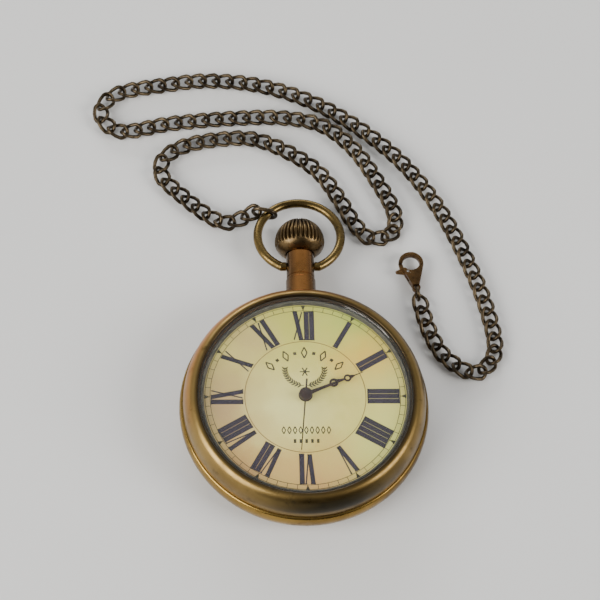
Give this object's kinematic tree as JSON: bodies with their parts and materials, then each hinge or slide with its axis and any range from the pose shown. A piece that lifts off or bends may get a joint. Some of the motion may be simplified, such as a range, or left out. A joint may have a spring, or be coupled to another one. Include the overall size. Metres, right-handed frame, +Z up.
{
  "type": "pocket watch",
  "caption": "Open-faced brass pocket watch with fluted winding knob, wire bow, a curb chain and a lobster clasp, and a jointed quartz movement inside.",
  "frame": {"origin": "centre of the flat foot of the back cover, on the surface that the watch lies on", "axes": "+Z up out of the dial, +Y towards twelve o'clock and the pendant, +X towards three o'clock"},
  "size_m": [0.0926, 0.1154, 0.0145],
  "materials": {
    "case_brass": "worn antique brass, satin",
    "bezel_brass": "polished antique brass with dark patches",
    "crystal_glass": "clear, polished",
    "glass_gasket": "satin",
    "rubber_black": "matt",
    "ring_grey": "fine textured grey",
    "dial_print": "aged cream print under lacquer",
    "hand_enamel": "dark brown, satin",
    "pendant_brass": "reddish antique brass, satin",
    "bow_brass": "olive antique brass, satin",
    "crown_bronze": "dark bronze, brushed",
    "steel": "fine brushed",
    "holder_plastic": "matt",
    "plate_brass": "fine grained gilt",
    "coil_copper": "enamelled copper wire",
    "magnet_dark": "sintered",
    "wheel_plastic": "matt",
    "gear_brass": "gilt, satin",
    "board_green": "lacquered",
    "chip_black": "matt",
    "cell_steel": "bright",
    "chain_bronze": "antique bronze, worn bright on the high lines",
    "clasp_brass": "antique brass, satin"
  },
  "bodies": {
    "chain": {"end_ring": "chain_bronze", "chain_links_1": "chain_bronze", "chain_links_2": "chain_bronze", "chain_links_3": "chain_bronze", "chain_links_4": "chain_bronze", "chain_links_5": "chain_bronze", "chain_links_6": "chain_bronze", "chain_links_7": "chain_bronze", "chain_links_8": "chain_bronze", "clasp_ring": "chain_bronze"},
    "bow": {"bow": "bow_brass"},
    "case": {"case_body": "case_brass", "inner_ring": "ring_grey", "dial": "dial_print", "dial_washer": "gear_brass", "pendant": "pendant_brass", "pendant_sleeve": "pendant_brass", "lever_spring": "steel", "movement_holder": "holder_plastic", "main_plate": "plate_brass", "train_bridge": "plate_brass", "bridge_screws": "steel", "coil": "coil_copper", "coil_core": "steel", "stator": "steel", "circuit_board": "board_green", "quartz_resonator": "steel", "control_chip": "chip_black", "battery": "cell_steel", "battery_clamp": "steel"},
    "back": {"back_cover": "case_brass", "back_gasket": "rubber_black"},
    "bezel": {"bezel": "bezel_brass", "crystal": "crystal_glass", "crystal_gasket": "glass_gasket"},
    "pinion": {"sliding_pinion": "steel"},
    "crown": {"crown": "crown_bronze", "stem": "steel", "crown_gasket": "rubber_black"},
    "lever": {"setting_lever": "steel"},
    "seconds": {"second_wheel": "gear_brass", "second_hand": "hand_enamel"},
    "rotor": {"rotor": "magnet_dark"},
    "intermediate": {"intermediate_wheel": "wheel_plastic"},
    "third": {"third_wheel": "gear_brass"},
    "minutes": {"centre_wheel": "gear_brass", "minute_hand": "hand_enamel"},
    "motion": {"minute_wheel": "gear_brass"},
    "hours": {"hour_wheel": "gear_brass", "hour_hand": "hand_enamel"},
    "clasp": {"clasp_frame": "clasp_brass", "clasp_pin": "steel", "clasp_spring": "steel"},
    "clasp_lever": {"clasp_lever": "clasp_brass"}
  },
  "joints": [
    {"name": "ring_swing", "type": "hinge", "parent": "chain", "child": "bow", "pos_m": [-0.00687, 0.04969, 0.00319], "axis": [-0.682, -0.7233, 0.1081], "range_deg": [0, 45]},
    {"name": "bow_swing", "type": "hinge", "parent": "bow", "child": "case", "pos_m": [0, 0.0349, 0.0054], "axis": [-1, 0, 0], "range_deg": [0, 100]},
    {"name": "back_off", "type": "slide", "parent": "case", "child": "back", "axis": [0, 0, -1], "range_m": [0, 0.005]},
    {"name": "bezel_off", "type": "slide", "parent": "case", "child": "bezel", "axis": [0, 0, 1], "range_m": [0, 0.006]},
    {"name": "crown_turn", "type": "hinge", "parent": "case", "child": "pinion", "pos_m": [0, 0.0075, 0.0054], "axis": [0, 1, 0], "continuous": true},
    {"name": "crown_pull", "type": "slide", "parent": "pinion", "child": "crown", "axis": [0, 1, 0], "range_m": [0, 0.0012]},
    {"name": "lever_tilt", "type": "hinge", "parent": "case", "child": "lever", "pos_m": [0.0024, 0.0102, 0.0065], "axis": [0, 0, -1], "range_deg": [0, 28.5]},
    {"name": "second_turn", "type": "hinge", "parent": "case", "child": "seconds", "pos_m": [0, 0, 0.0126], "axis": [0, 0, 1], "continuous": true},
    {"name": "rotor_turn", "type": "hinge", "parent": "case", "child": "rotor", "pos_m": [-0.00663, 0.0014, 0.007], "axis": [0, 0, 1], "continuous": true},
    {"name": "intermediate_turn", "type": "hinge", "parent": "case", "child": "intermediate", "pos_m": [-0.00383, 0.0014, 0.007], "axis": [0, 0, 1], "continuous": true},
    {"name": "third_turn", "type": "hinge", "parent": "case", "child": "third", "pos_m": [0.00205, -0.00355, 0.007], "axis": [0, 0, 1], "continuous": true},
    {"name": "minute_turn", "type": "hinge", "parent": "case", "child": "minutes", "pos_m": [0, 0, 0.007], "axis": [0, 0, 1], "continuous": true},
    {"name": "motion_turn", "type": "hinge", "parent": "case", "child": "motion", "pos_m": [-0.00107, -0.00293, 0.007], "axis": [0, 0, 1], "continuous": true},
    {"name": "hour_turn", "type": "hinge", "parent": "case", "child": "hours", "pos_m": [0, 0, 0.007], "axis": [0, 0, 1], "continuous": true},
    {"name": "clasp_swing", "type": "hinge", "parent": "chain", "child": "clasp", "pos_m": [0.0265, 0.0312, 0.00185], "axis": [0, 0, 1], "range_deg": [-35, 35]},
    {"name": "clasp_open", "type": "hinge", "parent": "clasp", "child": "clasp_lever", "pos_m": [0.02472, 0.03507, 0.00185], "axis": [0, 0, -1], "range_deg": [0, 35], "stiffness_Nm_per_rad": 0.0002, "springref_deg": -17.19}
  ],
  "couplings": [
    {"joint": "lever_tilt", "follows": "crown_pull", "rad_per_m": 408.3},
    {"joint": "rotor_turn", "follows": "second_turn", "ratio": 30},
    {"joint": "intermediate_turn", "follows": "second_turn", "ratio": -5},
    {"joint": "third_turn", "follows": "second_turn", "ratio": -0.13333},
    {"joint": "minute_turn", "follows": "second_turn", "ratio": 0.016667},
    {"joint": "motion_turn", "follows": "second_turn", "ratio": -0.0055556},
    {"joint": "hour_turn", "follows": "second_turn", "ratio": 0.0013889}
  ]
}
